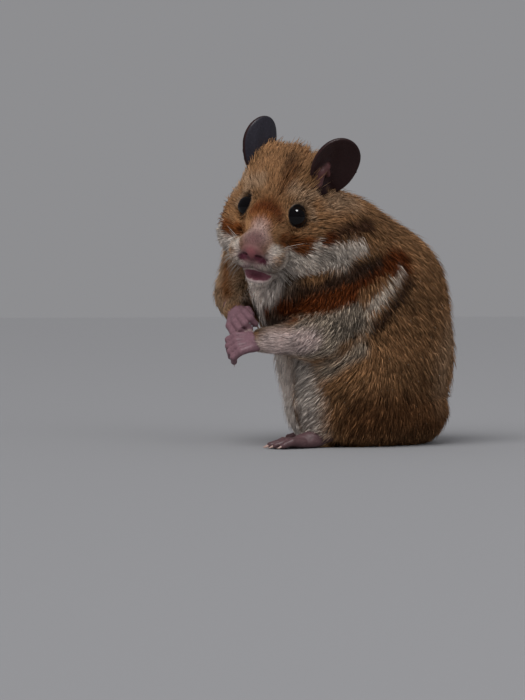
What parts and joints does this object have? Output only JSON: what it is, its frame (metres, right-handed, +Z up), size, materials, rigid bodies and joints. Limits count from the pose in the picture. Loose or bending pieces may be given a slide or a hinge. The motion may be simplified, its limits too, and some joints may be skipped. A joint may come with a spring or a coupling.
{
  "type": "syrian hamster",
  "caption": "Life-size adult Syrian hamster sitting up on its haunches, forepaws held together before the chest and head turned to its left.",
  "frame": {"origin": "on the floor under the middle of the animal's bounding box", "axes": "+Z up, the pelvis faces about -Y, +X towards the animal's left side"},
  "size_m": [0.0582, 0.0788, 0.1019],
  "materials": {
    "golden_fur": "dense soft golden-brown fur with darker ticking",
    "white_fur": "short soft white fur",
    "bare_skin": "bare pink skin with fine creases",
    "ear_skin": "thin charcoal-grey skin with sparse down",
    "eye": "wet near-black eye"
  },
  "bodies": {
    "root": {"head": "golden_fur", "lower_jaw": "white_fur", "nose": "bare_skin", "eye_left": "eye", "eye_right": "eye", "ear_left": "ear_skin", "ear_right": "ear_skin", "neck": "golden_fur", "trunk": "golden_fur", "foreleg_left": "golden_fur", "foreleg_right": "golden_fur", "forepaw_left": "bare_skin", "forepaw_right": "bare_skin", "thigh_left": "golden_fur", "thigh_right": "golden_fur", "hind_foot_left": "bare_skin", "hind_foot_right": "bare_skin", "tail": "golden_fur"}
  },
  "joints": []
}
